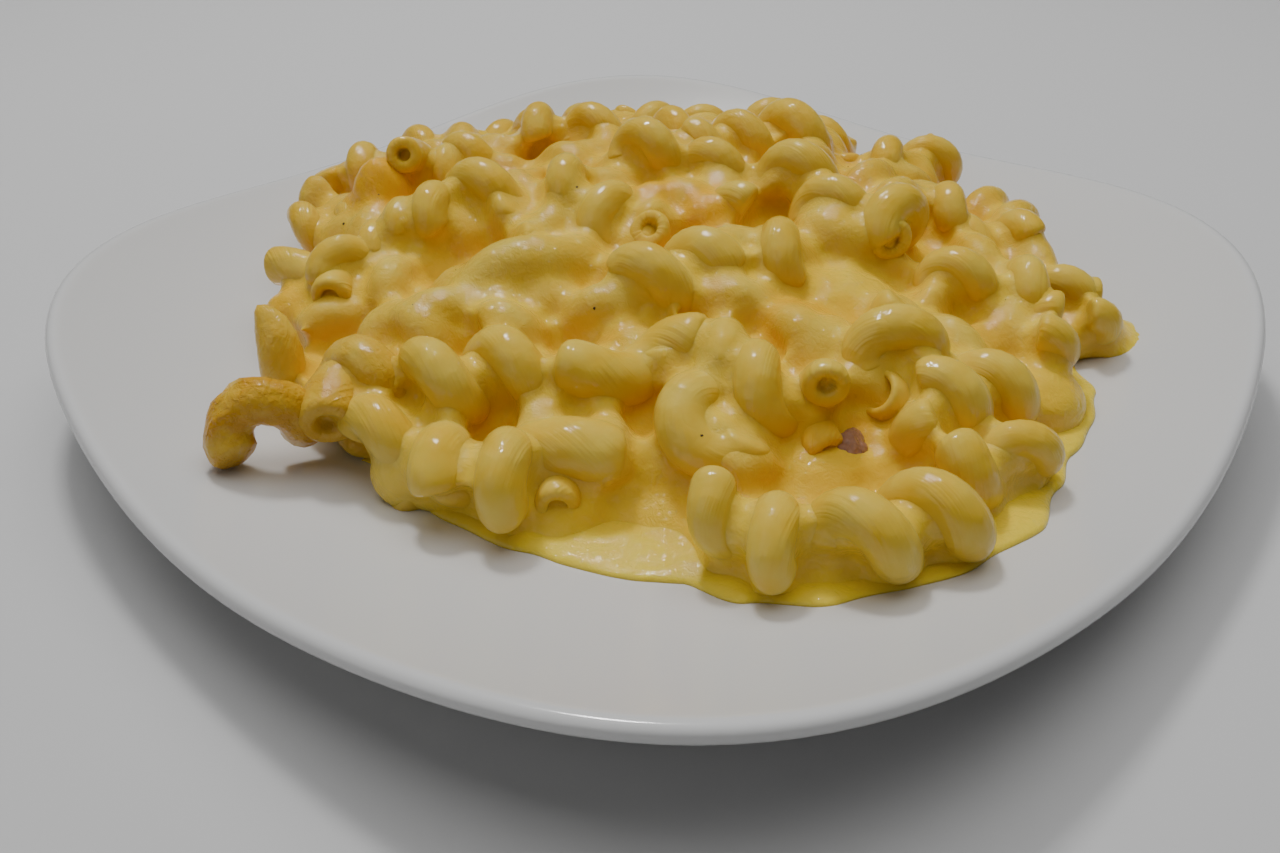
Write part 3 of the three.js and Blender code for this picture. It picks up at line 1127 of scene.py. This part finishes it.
TOP = [
    Twist(-57, 0, 23.5, 150, 0, 60, 0.8, 0.8, FILMED, 0.15),
    Twist(-52, 3, 27, 150, 0, 60, 0.8, 0.8, COATED),
    Twist(-46, 4, 29, 150, 0, 60, 0.9, 0.9, FILMED),
    Twist(-34, 9, 31, 30, 0, 40, 1.3, 1, FILMED),
    Twist(-27, -2, 29, 60, 20, 180, 0.7, 1, COATED),
    Twist(-20, 8, 33, 150, 0, 60, 0.9, 0.9, COATED),
    Twist(-9, -1, 29, 120, 0, 300, 1.4, 1, FILMED, 0.0, (STOPPED, STOPPED)),
    Twist(13, 0, 30, 30, 0, 240, 0.8, 0.85, FILMED, 0.1),
    Twist(-1, 20, 36, 20, 0, 60, 1.2, 0.9, FILMED),
    Twist(29, 12, 34, 30, 0, 60, 1.2, 0.95, FILMED),
    Twist(35, 3, 31, 30, 0, 60, 1.2, 0.9, FILMED),
    Twist(44.5, -1, 29.5, -75, 10, 326, 0.85, 1.02),
    Twist(42.5, -5.3, 28.6, -70, 14, 0, 0.34, 1.06, CLEAN, 0.0, (BLUNT, HOLED), coil=0.5, pitch=22),
]

CREST = [
    Twist(-70, 16, 20, 0, 0, 180, 1.3, 0.8, FILMED, 0.15),
    Twist(-51.5, 23, 33, 268, 40, 40, 0.5, 0.95, CLEAN, 0.1, (BLUNT, HOLED), coil=1.2, pitch=24),
    Twist(-40, 30, 30, 30, 0, 60, 1.2, 0.85, FILMED),
    Twist(12, 17, 33.5, 30, 0, 60, 0.8, 0.85, FILMED),
    Twist(-47, 28, 28.5, 150, 0, 60, 0.9, 0.8, FILMED),
    Twist(-29, 44, 31, 150, 0, 60, 0.8, 0.9, FILMED),
    Twist(-15, 42, 32, 30, 0, 0, 1, 0.85, FILMED),
    Twist(3, 42, 31, 0, 0, 0, 0.8, 0.85, FILMED),
    Twist(14, 33, 32.5, 20, 0, 240, 1.4, 0.9, FILMED),
    Twist(29, 40, 31.5, 15, 0, 0, 0.9, 1.05),
    Twist(49, 38, 26, 140, 0, 60, 1.3, 0.85, FILMED),
    Twist(57, 14, 25, 150, 0, 60, 0.9, 0.85, FILMED),
    Twist(68, 8, 21, 170, -10, 180, 1.3, 0.85, FILMED),
]

# Twists whose browning spreads to the sauce round them.
BROWNED = [twist for twist in FRONT_ROW + SECOND_ROW + MIDDLE + TOP + CREST if twist.browning > 0.2]


@dataclass(frozen=True)
class Strewing:
    """How twists that are laid by rule lie and look.

    Attributes:
        seed: Where their random numbers start.
        clearance: Least height of their middles over the plate.
        lean: How much their lean varies, in degrees.
        fewest_turns: Turns of the shortest.
        more_turns: How many more the longest have.
        size: Their scale.
        coat: How thickly the sauce lies on them.
    """

    seed: int
    clearance: float
    lean: float
    fewest_turns: float
    more_turns: float
    size: float
    coat: Coat

    def twist(self, draw: SeededDraw, form: HeapForm, x: float, y: float, depth: float) -> Twist:
        """Lays one twist.

        Args:
            draw: Gives its way, its lean, its roll and its turns.
            form: The heap.
            x: How far to the right it lies.
            y: How far back it lies.
            depth: How far its middle lies under the heap's ceiling.

        Returns:
            The twist.
        """
        z = max(form.plate.top(x, y) + self.clearance, form.ceiling(x, y) - depth)
        heading, lean, roll = 180 * draw(), self.lean * (draw() - 0.5), 360 * draw()
        turns = self.fewest_turns + self.more_turns * draw()
        return Twist(x, y, z, heading, lean, roll, turns, self.size, self.coat)


@dataclass
class PastaRows:
    """All the twists: those listed one by one, and those that fill the far side and the gaps by
    rule.
    """

    form: HeapForm
    maker: TwistMaker = TwistMaker()
    on_top: Strewing = Strewing(11, 8.6, 20, 1.1, 0.7, 0.9, FILMED)
    back_rings: tuple[tuple[float, ...], ...] = ((0.93, 22, 168, 9), (0.66, 45, 150, 3))
    back_overhang: float = 2.0
    back_depth: float = 7.5
    buried: Strewing = Strewing(5, 8.2, 24, 1.0, 0.8, 0.92, COATED)
    filler_count: int = 90
    filler_reach: float = 0.9
    filler_depth: float = 11.5
    filler_drop: float = 3.5
    filler_spacing: tuple[float, float] = (3.0, 9.0)
    dry_from: float = 0.5
    browning_reach: tuple[float, float] = (6.0, 11.0)

    def back(self) -> list[Twist]:
        """Lays rings of twists on the far slope.

        A ring has its share of the way to the core's edge, its first and its last angle in
        degrees, and how many twists it holds.

        Returns:
            The twists.
        """
        draw = SeededDraw(self.on_top.seed)
        twists = []
        for share, first, last, count in self.back_rings:
            step = (last - first) / count
            for i in range(count):
                angle = math.radians(first + step * (i + 0.2 + 0.6 * draw()))
                x, y = self.form.at(angle, share, self.back_overhang)
                twists.append(self.on_top.twist(draw, self.form, x, y, self.back_depth))
        return twists

    def filler(self) -> list[Twist]:
        """Lays twists deeper down, that show as soft humps in the sauce between the others.

        Returns:
            The twists.
        """
        draw = SeededDraw(self.buried.seed)
        laid = [twist for group in self.groups().values() for twist in group]
        twists = []
        for i in range(self.filler_count):
            share = math.sqrt((i + 0.5) / self.filler_count) * self.filler_reach
            angle = i * math.pi * (3 - math.sqrt(5)) + 0.4 * draw()
            x, y = self.form.at(angle, share)
            if any(math.hypot(x - at_x, y - at_y) < radius for at_x, at_y, radius in SMOOTH_SPOTS):
                continue
            crowd = min(math.hypot(x - twist.x, y - twist.y) for twist in laid)
            crowded = 1 - smoothstep(*self.filler_spacing, crowd)
            depth = self.filler_depth + self.filler_drop * crowded
            twists.append(self.buried.twist(draw, self.form, x, y, depth))
        return twists

    def groups(self) -> dict[str, list[Twist]]:
        """Sorts the twists by the piece that they are joined into.

        Returns:
            The twists of each piece, by its name.
        """
        return {
            "pasta_front_row": FRONT_ROW,
            "pasta_second_row": SECOND_ROW,
            "pasta_middle": MIDDLE,
            "pasta_top": TOP,
            "pasta_crest": CREST,
            "pasta_back": self.back(),
        }

    def every(self) -> list[Twist]:
        """All twists, seen and buried."""
        return [twist for group in self.groups().values() for twist in group] + self.filler()

    def solids(self) -> list[Object]:
        """Plain closed tubes of the twists and what they hold, for the sauce to lie round.

        Returns:
            The tubes and fillings, in millimetres, but none for a twist that is browned all over.
        """
        solids = []
        for i, twist in enumerate(self.every()):
            if twist.browning == 1.0:
                continue
            solids.append(self.maker.solid(twist, f"solid_{i}"))
            if twist.browning < self.dry_from:
                solids.append(self.maker.filling(twist, f"filling_{i}"))
        return solids

    def surface(self) -> BVHTree:
        """Gathers all the pasta's surface, in millimetres.

        Returns:
            The search tree.
        """
        tubes = []
        for i, twist in enumerate(self.every()):
            tubes.append(self.maker.solid(replace(twist, coat=Coat.BARE), f"bare_{i}"))
        whole = join("bare_pasta", tubes)
        tree = search_tree(whole)
        bpy.data.objects.remove(whole)
        return tree

    def browning(self, point: Vector) -> float:
        """Finds how browned the food is round a point.

        Args:
            point: A point of the food.

        Returns:
            The browning, from 0 to 1.
        """
        share = self.form.golden(point)
        for twist in BROWNED:
            away = (point - twist.place).length
            share = max(share, twist.browning * (1 - smoothstep(*self.browning_reach, away)))
        return share

    def tube_browning(self, twist: Twist, point: Vector) -> float:
        """How browned a twist is at a point of it."""
        return max(twist.browning, self.form.golden(point))

    def dress(self) -> None:
        """Builds every row and gives it its finish."""
        finish = SaucedPasta().material()
        for name, twists in self.groups().items():
            tubes = []
            for i, twist in enumerate(twists):
                tube = self.maker.tube(twist, f"{name}_{i}")
                point_values(tube, "browning", partial(self.tube_browning, twist))
                # Painted shade: how far down among the pasta each point lies, for the finish to
                # darken it.
                point_values(tube, "hollow", self.form.hollow)
                tubes.append(tube)
            hand_over(join(name, tubes), finish, "macaroni_heap")


def search_tree(obj: Object) -> BVHTree:
    """Search tree of an object's faces."""
    corners = [vertex.co.copy() for vertex in obj.data.vertices]
    return BVHTree.FromPolygons(corners, [tuple(polygon.vertices) for polygon in obj.data.polygons])


def depth_over(tree: BVHTree, point: Vector) -> float:
    """How far a point lies outside a surface, and 0 within it."""
    place, normal, _, distance = tree.find_nearest(point)
    return distance if (point - place).dot(normal) > 0 else 0.0


# ---- sauce ----------------------------------------------------------------


@dataclass(frozen=True)
class Lump:
    """A rounded mass of sauce or cheese.

    Attributes:
        x, y, z: Its middle.
        a, b, c: Its half-axes.
        cheddar: How much it has the colour of plain cheddar, from 0 to 1.
        fade: Where that colour starts to fade and where it ends, with 1 on the surface.
    """

    x: float
    y: float
    z: float
    a: float
    b: float
    c: float
    cheddar: float = 0.0
    fade: ClassVar[tuple[float, float]] = (0.7, 1.7)

    def at(self, point: Vector) -> Vector:
        """Puts a point of a ball on the mass."""
        x, y, z = self.a * point.x, self.b * point.y, self.c * point.z
        return Vector((self.x + x, self.y + y, self.z + z))

    def away(self, point: Vector) -> float:
        """How far a point is from the middle, with 1 on the surface."""
        x, y, z = point.x - self.x, point.y - self.y, point.z - self.z
        return Vector((x / self.a, y / self.b, z / self.c)).length

    def build(self, name: str) -> Object:
        """Makes the mass, in millimetres, under a name."""
        return shaped_ball(name, 3, self.at)


LUMPS = [
    Lump(-58, 18, 25.5, 6.5, 6, 10, 1.0),
    Lump(-1, 6, 31.5, 5, 4, 4, 0.9),
    Lump(9, 2, 29.5, 5, 5, 5, 1.0),
    Lump(24, -29, 22.5, 6, 5, 5.5, 0.9),
    Lump(-70, -12, 16, 6, 5, 5, 0.6),
    Lump(-3, -54, 10.5, 10, 6, 6),
    Lump(-17, -54, 11, 8, 6, 6),
    Lump(-39.5, -54.5, 11, 7, 6, 7),
    Lump(-42, -44, 14.5, 7, 6, 5),
    Lump(14, -68, 10.5, 8, 5, 4.5),
    Lump(-55, -37, 13, 7, 6, 6),
    Lump(-15, -60, 8.5, 8, 6.5, 5),
    Lump(27, -56, 11.5, 11, 6, 5),
    Lump(-47, -3, 21, 6, 6, 5),
    Lump(31, -17, 21.5, 13, 9, 5.5),
    Lump(66, -35, 12, 8, 8, 6, 0.1),
    Lump(83, -13, 13.5, 5, 6, 5, 0.3),
    Lump(85, -12, 11.5, 8, 8, 2.8),
    Lump(24, -75, 10.5, 6, 5, 3.5),
]

# Ponds of plain sauce, where no twist is laid by rule, as (x, y, radius).
SMOOTH_SPOTS = [(31.0, -18.0, 9.0), (-2.0, -62.0, 8.0), (24.0, -53.0, 7.0), (68.0, -36.0, 8.0)]


@dataclass
class Sauce:
    """The sauce: a skin that hugs the twists and bridges the gaps, and the run-out pool."""

    form: HeapForm
    pasta: PastaRows
    sink: float = 13.0
    core_edge: float = 1.5
    clearance: float = 0.12
    voxel: float = 0.85
    fine_voxel: float = 0.7
    most_faces: int = 195000
    web: float = 1.7
    thick_depths: tuple[float, float] = (0.15, 1.5)
    wrinkles: tuple[tuple[float, float], ...] = ((0.30, 5.0), (0.16, 1.9))
    foot_reach: float = 11.0
    foot_inset: float = 0.95
    foot_height: float = 2.6
    foot_size: tuple[float, float, float] = (6.5, 6.5, 4.6)
    run_out: tuple[tuple[float, float], ...] = (
        (-128, 81), (-120, 83), (-112, 87), (-103, 90), (-94, 93), (-88, 94.5), (-83, 101),
        (-76, 104), (-66, 105), (-57, 103), (-50, 98), (-44, 94.5), (-38, 94), (-32, 91.5),
        (-26, 86.5),
    )
    run_out_heights: tuple[float, float] = (0.8, 3.2)
    inner_depth: float = 3.0
    edge_depth: float = 0.9
    pool_grid: tuple[int, int] = (200, 26)
    pool_inset: float = 6.0
    pool_width: float = 7.5
    pool_edge_wander: float = 0.9
    pool_film: float = 0.3
    slab_depth: float = 3.0
    slab_rise: float = 0.4
    slab_inset: float = 8.0
    slab_width: float = 9.0
    slab_step_in: float = 1.2
    slab_trim: float = 2.0

    def floor(self, x: float, y: float) -> float:
        """Lowest height of the food over a point of the plate."""
        return self.form.plate.top(x, y) + self.clearance

    def core(self) -> Object:
        """Makes the mound under the pasta.

        Returns:
            A ball, in millimetres, whose two halves have become the mound's top and its underside.
        """
        add = bpy.ops.mesh.primitive_uv_sphere_add
        ball = start("sauce_core", add, segments=72, ring_count=32, radius=1)

        def place(point: Vector) -> Vector:
            """Puts a point of the ball on the mound.

            Args:
                point: The point of the ball.

            Returns:
                Its place on the mound.
            """
            share = math.asin(min(1.0, math.hypot(point.x, point.y))) / (math.pi / 2)
            x, y = self.form.at(math.atan2(point.y, point.x), share)
            low = self.floor(x, y)
            if point.z < 0:
                return Vector((x, y, low))
            high = self.form.ceiling(x, y) - self.sink
            return Vector((x, y, max(low + self.core_edge, high)))

        move_vertices(ball, place)
        return ball

    def feet(self) -> list[Object]:
        """Makes the sauce that stands between the lowest twists and the plate.

        Returns:
            Its masses, in millimetres.
        """
        feet = []
        for i, twist in enumerate(self.pasta.every()):
            low = self.form.plate.top(twist.x, twist.y)
            if twist.z - low < self.foot_reach and twist.browning < self.pasta.dry_from:
                x, y = self.foot_inset * twist.x, self.foot_inset * twist.y
                foot = Lump(x, y, low + self.foot_height, *self.foot_size)
                feet.append(foot.build(f"foot_{i}"))
        return feet

    def skin(self, solids: list[Object], pasta: BVHTree) -> Object:
        """Fuses everything and closes the hollows that are narrower than the sauce bridges.

        Args:
            solids: What the sauce lies round.
            pasta: The surface of all the pasta, in millimetres.

        Returns:
            The skin, in millimetres.
        """
        skin = join("sauce_skin", solids)
        for growth in (self.web, -self.web):
            apply_modifier(skin, "REMESH", mode="VOXEL", voxel_size=self.voxel)
            apply_modifier(skin, "DISPLACE", strength=growth, mid_level=0.0)
        apply_modifier(skin, "REMESH", mode="VOXEL", voxel_size=self.fine_voxel)
        apply_modifier(skin, "SMOOTH", factor=0.5, iterations=6)
        keep_largest(skin)
        triangles = 2 * len(skin.data.polygons)
        apply_modifier(skin, "DECIMATE", ratio=self.most_faces / triangles)
        point_values(skin, "thick", lambda p: smoothstep(*self.thick_depths, depth_over(pasta, p)))
        thick = [value.value for value in skin.data.attributes["thick"].data]
        normals = [vertex.normal.copy() for vertex in skin.data.vertices]
        for vertex, normal, share in zip(skin.data.vertices, normals, thick):
            point = vertex.co.copy()
            wrinkle = sum(height * noise.noise(point / size) for height, size in self.wrinkles)
            point += normal * (share * wrinkle)
            point.z = max(point.z, self.floor(point.x, point.y))
            vertex.co = point
        skin.data.update()
        return skin

    def slab(self) -> Object:
        """Makes a block under the pool, so that the skin runs out into the pool.

        Returns:
            The block, in millimetres.
        """
        box = start("pool_slab", bpy.ops.mesh.primitive_cube_add, size=1)
        with edit_mode(box, "SELECT"):
            bpy.ops.mesh.subdivide(number_cuts=40)
        first, last = self.run_out[0][0], self.run_out[-1][0]

        def place(point: Vector) -> Vector:
            """Bends a point of the block under the pool.

            Args:
                point: The point of the block.

            Returns:
                Its place under the pool.
            """
            swept = last - first - 2 * self.slab_trim
            degrees = first + self.slab_trim + swept * (point.x + 0.5)
            angle = math.radians(degrees)
            inner = self.form.reach(angle) - self.slab_inset
            outer = max(value_at(list(self.run_out), degrees), inner + self.slab_width)
            outer -= self.slab_step_in
            x, y = self.form.out(angle, inner + (outer - inner) * (point.y + 0.5))
            z = self.floor(x, y) + self.slab_rise - self.slab_depth * (0.5 - point.z)
            return Vector((x, y, z))

        move_vertices(box, place)
        return box

    def pool(self) -> Object:
        """Makes the thin sauce that has run out over the plate.

        Returns:
            A flat bar bent into a crescent, in millimetres.
        """
        long, wide = self.pool_grid
        add = bpy.ops.mesh.primitive_grid_add
        bar = start("sauce_pool", add, x_subdivisions=long, y_subdivisions=wide, size=1)
        first, last = self.run_out[0][0], self.run_out[-1][0]

        def place(point: Vector) -> Vector:
            """Puts a point of the bar on the pool's upper surface.

            Args:
                point: The point of the bar.

            Returns:
                Its place on the pool.
            """
            degrees = first + (last - first) * (point.x + 0.5)
            outwards = 1 - max(0.0, 0.5 - point.y) ** 1.5
            angle = math.radians(degrees)
            inner = self.form.reach(angle) - self.pool_inset
            outer = max(value_at(list(self.run_out), degrees), inner + self.pool_width)
            outer += self.pool_edge_wander * noise.noise(Vector((degrees / 5, 0, 0)))
            x, y = self.form.out(angle, inner + (outer - inner) * outwards)
            depth = self.inner_depth + (self.edge_depth - self.inner_depth) * outwards
            broad, fine = Vector((x, y, 0)) / 5, Vector((x, y, 3)) / 1.8
            depth += 0.25 * noise.noise(broad) + 0.12 * noise.noise(fine)
            depth *= math.sqrt(max(0.0, 1 - outwards**14)) * (1 - (2 * abs(point.x)) ** 12)
            return Vector((x, y, self.floor(x, y) + max(0.0, depth)))

        move_vertices(bar, place)
        apply_modifier(bar, "SOLIDIFY", thickness=self.pool_film, offset=-1.0)
        move_vertices(bar, lambda p: Vector((p.x, p.y, max(p.z, self.floor(p.x, p.y)))))
        point_values(bar, "thick", lambda point: 1.0)
        return bar

    def run_out_share(self, point: Vector) -> float:
        """How much a point of the sauce is thin sauce on the plate."""
        height = point.z - self.form.plate.top(point.x, point.y)
        return 1 - smoothstep(*self.run_out_heights, height)

    def dress(self, piece: Object, node: str, finish: bpy.types.Material) -> None:
        """Gives a piece of sauce its finish and its place.

        Args:
            piece: The piece, in millimetres.
            node: The solid that it stands for.
            finish: Its material.
        """
        point_values(piece, "cheddar", cheddar_share)
        point_values(piece, "run_out", self.run_out_share)
        point_values(piece, "browning", self.pasta.browning)
        # Painted shade: how far down among the pasta each point lies, for the finish to darken it.
        point_values(piece, "hollow", self.form.hollow)
        hand_over(piece, finish, node)


def cheddar_share(point: Vector) -> float:
    """Finds how much a point of the sauce has the colour of plain cheddar.

    Args:
        point: The point of the sauce.

    Returns:
        The share, from 0 to 1.
    """
    share = 0.0
    for lump in LUMPS:
        share = max(share, lump.cheddar * (1 - smoothstep(*lump.fade, lump.away(point))))
    return share


# ---- scraps ---------------------------------------------------------------


@dataclass(frozen=True)
class Scraps:
    """The fried bit and the pepper that lie on the food."""

    surfaces: tuple[BVHTree, ...]
    form: HeapForm
    fried_at: tuple[float, float] = (31.0, -54.0)
    fried_size: tuple[float, float, float] = (2.9, 3.4, 1.7)
    fried_facing: tuple[float, float, float] = (0.25, -0.6, 0.75)
    fried_folds: tuple[tuple[float, float], ...] = ((0.3, 1.2), (0.1, 2.9), (0.04, 7.0))
    fried_sunk: float = 0.8
    pepper_seed: int = 23
    pepper_count: int = 42
    pepper_radius: float = 0.2
    pepper_reach: float = 0.9
    above: float = 80.0

    def on_food(self, x: float, y: float) -> tuple[Vector, Vector]:
        """Finds the food over a point of the plate.

        Args:
            x: How far to the right the point is.
            y: How far back it is.

        Returns:
            The highest point of the food there, and which way it faces.
        """
        eye, down = Vector((x, y, self.above)), Vector((0, 0, -1))
        hits = [surface.ray_cast(eye, down) for surface in self.surfaces]
        found = [hit for hit in hits if hit[0] is not None]
        place, normal, _, _ = max(found, key=lambda hit: hit[0].z)
        return place, normal

    def fried_bit(self) -> Object:
        """Makes a crumpled scrap, half sunk in the sauce.

        Returns:
            The scrap, in millimetres.
        """
        place, normal = self.on_food(*self.fried_at)
        tilt = Vector(self.fried_facing).normalized().to_track_quat("Z", "Y").to_matrix()

        def crumple(point: Vector) -> Vector:
            """Folds a point of the ball.

            Args:
                point: The point of the ball.

            Returns:
                Its place on the scrap.
            """
            swell = 1.0
            for height, scale in self.fried_folds:
                swell += height * noise.noise(point * scale)
            sized = Vector([half * along for half, along in zip(self.fried_size, point * swell)])
            return place + tilt @ sized - normal * self.fried_sunk

        return shaped_ball("fried_bit", 5, crumple)

    def fleck(self, name: str, draw: SeededDraw) -> Object:
        """Makes one fleck of pepper.

        Args:
            name: Name of the object.
            draw: Gives its place, its size and its length.

        Returns:
            The fleck on the food, in millimetres.
        """
        x, y = self.form.at(TAU * draw(), self.pepper_reach * math.sqrt(draw()))
        place, normal = self.on_food(x, y)
        turn = normal.to_track_quat("Z", "Y").to_matrix()
        radius = self.pepper_radius * (0.6 + 0.9 * draw())
        long = 0.7 + 0.8 * draw()

        def chip(point: Vector) -> Vector:
            """Flattens and roughens a point of the ball."""
            rough = 1 + 0.5 * noise.noise(point * 4 + place)
            return place + turn @ Vector((long * point.x, point.y, 0.5 * point.z)) * rough

        return shaped_ball(name, 2, chip, radius)

    def pepper(self) -> Object:
        """Scatters flecks of pepper over the food, joined into one piece.

        Returns:
            The flecks, in millimetres.
        """
        draw = SeededDraw(self.pepper_seed)
        flecks = [self.fleck(f"fleck_{i}", draw) for i in range(self.pepper_count)]
        return join("ground_pepper", flecks)

    def dress(self) -> None:
        """Lays the scraps on the food."""
        for piece, finish in ((self.fried_bit(), FriedBit()), (self.pepper(), GroundPepper())):
            hand_over(piece, finish.material())


# ---- setting --------------------------------------------------------------


@dataclass(frozen=True)
class Lamp:
    """Soft square lamp that faces the middle of the plate.

    Attributes:
        name: Its name.
        place: Where it hangs in the serving frame, in metres.
        size: Length of its side in metres.
        power: Share of the studio's light.
        mirrored: Whether it shows in shiny surfaces.
    """

    name: str
    place: tuple[float, float, float]
    size: float
    power: float
    mirrored: bool = True


@dataclass(frozen=True)
class Studio:
    """Pale floor, soft light and the camera."""

    lens: float = 28.77
    sensor: float = 36.0
    eye: tuple[float, float, float] = (0.0, -0.1831, 0.1135)
    yaw: float = -1.293
    pitch: float = 35.93
    tilt: float = -0.519
    nearest: float = 0.005
    light_power: float = 6.5
    lamps: tuple[Lamp, ...] = (
        Lamp("overhead", (0.05, 0.15, 0.9), 1.0, 1.0, mirrored=False),
        Lamp("front_left", (-0.6, -0.5, 0.5), 0.7, 0.12),
        Lamp("glint", (-0.15, 0.4, 0.8), 0.13, 0.55),
    )
    sky: float = 0.05
    floor_size: float = 6.0
    floor_colour: Colour = (0.6, 0.6, 0.6)
    floor_roughness: float = 0.8

    def camera(self) -> None:
        """Puts the camera close over the front of the plate."""
        data = bpy.data.cameras.new("eye")
        data.lens, data.sensor_width, data.sensor_fit = self.lens, self.sensor, "HORIZONTAL"
        data.clip_start = self.nearest
        camera = bpy.data.objects.new("eye", data)
        bpy.context.collection.objects.link(camera)
        upright = Matrix.Rotation(math.pi / 2 - math.radians(self.pitch), 4, "X")
        heading = Matrix.Rotation(SERVING_TURN - math.radians(self.yaw), 4, "Z")
        tilt = Matrix.Rotation(math.radians(self.tilt), 4, "Z")
        place = Matrix.Rotation(SERVING_TURN, 4, "Z") @ Matrix.Translation(self.eye)
        camera.matrix_world = Matrix.Translation(place.translation) @ heading @ upright @ tilt
        bpy.context.scene.camera = camera

    def light(self) -> None:
        """Hangs the lamps and fills the room with a faint white light."""
        for lamp in self.lamps:
            data = bpy.data.lights.new(lamp.name, "AREA")
            data.energy, data.size = self.light_power * lamp.power, lamp.size
            hung = bpy.data.objects.new(lamp.name, data)
            hung.visible_glossy = lamp.mirrored
            bpy.context.collection.objects.link(hung)
            place = Matrix.Rotation(SERVING_TURN, 4, "Z") @ Vector(lamp.place)
            facing = place.to_track_quat("Z", "Y").to_matrix().to_4x4()
            hung.matrix_world = Matrix.Translation(place) @ facing
        world = bpy.data.worlds.new("soft_room")
        world.use_nodes = True
        world.node_tree.nodes["Background"].inputs["Color"].default_value = (1, 1, 1, 1)
        world.node_tree.nodes["Background"].inputs["Strength"].default_value = self.sky
        bpy.context.scene.world = world

    def floor(self) -> None:
        """Lays a pale floor."""
        floor = start("floor", bpy.ops.mesh.primitive_plane_add, size=self.floor_size)
        nodes = Nodes("pale_floor")
        nodes.set(Base_Color=(*self.floor_colour, 1), Roughness=self.floor_roughness)
        floor.data.materials.append(nodes.material)


def main() -> None:
    """Builds the serving piece by piece."""
    logging.basicConfig(level=logging.INFO, format="%(name)s: %(message)s")
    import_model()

    studio = Studio()
    studio.camera()
    studio.light()
    studio.floor()

    plate = Plate()
    plate.dress()
    rows = PastaRows(HeapForm(plate))
    sauce = Sauce(rows.form, rows)
    pool = sauce.pool()
    lumps = [lump.build(f"lump_{i}") for i, lump in enumerate(LUMPS)]
    bare = rows.surface()
    skin = sauce.skin([sauce.core(), sauce.slab(), *lumps, *sauce.feet(), *rows.solids()], bare)
    Scraps((search_tree(skin), bare), rows.form).dress()
    rows.dress()
    finish = CheeseSauce().material()
    sauce.dress(skin, "macaroni_heap", finish)
    sauce.dress(pool, "cheese_sauce", finish)


if __name__ == "__main__":
    main()
